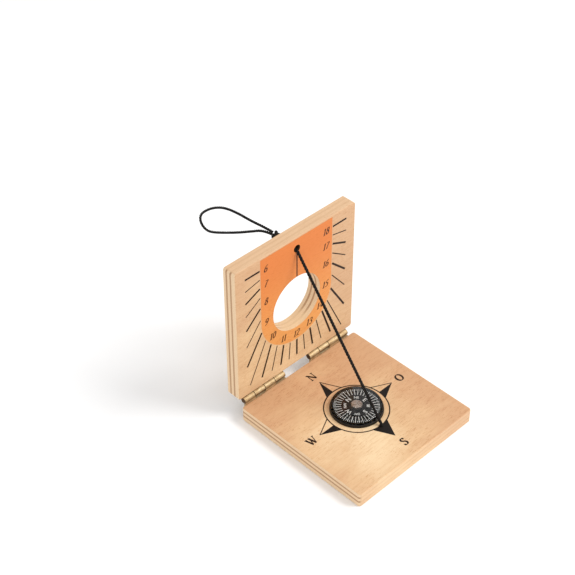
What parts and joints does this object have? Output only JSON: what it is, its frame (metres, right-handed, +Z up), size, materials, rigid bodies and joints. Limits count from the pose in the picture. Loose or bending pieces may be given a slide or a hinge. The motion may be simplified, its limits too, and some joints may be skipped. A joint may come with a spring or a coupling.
{
  "type": "folding pocket sundial",
  "caption": "Folding wooden pocket sundial: square base leaf with inset compass, hinged upright dial leaf with round window, cord gnomon.",
  "frame": {"origin": "centre of the base leaf's underside", "axes": "+X east, along the hinge line to the right; +Y north, from the front edge of the base towards the upright dial leaf; +Z up"},
  "size_m": [0.06, 0.1148, 0.0686],
  "materials": {
    "ply": "sanded, thin clear oil, printed in orange, brown and black",
    "brass": "satin",
    "compass_plastic": "gloss",
    "compass_clear": "clear moulded plastic",
    "steel": "bright",
    "hub_brass": "bright",
    "cord": "waxed twisted thread"
  },
  "bodies": {
    "base": {"base_leaf": "ply", "hinge_left_base_plate": "brass", "hinge_left_pin": "brass", "hinge_right_base_plate": "brass", "hinge_right_pin": "brass", "base_hinge_screws": "brass", "compass_case": "compass_plastic", "compass_lens": "compass_clear", "compass_bezel": "compass_plastic", "compass_pivot": "steel", "base_knot": "cord", "gnomon_cord": "cord"},
    "upright": {"dial_leaf": "ply", "hinge_left_dial_plate": "brass", "hinge_right_dial_plate": "brass", "dial_hinge_screws": "brass", "loop_knot": "cord", "cord_loop": "cord"},
    "card": {"compass_card": "compass_plastic", "compass_magnet": "steel", "compass_hub": "hub_brass"}
  },
  "joints": [
    {"name": "leaf_hinge", "type": "hinge", "parent": "base", "child": "upright", "pos_m": [0, 0.0313, 0.0073], "axis": [1, 0, 0], "range_deg": [0, 90], "deforming": ["gnomon_cord"]},
    {"name": "compass_card_spin", "type": "hinge", "parent": "base", "child": "card", "pos_m": [0, 0, 0.0055], "axis": [0, 0, 1], "continuous": true}
  ]
}
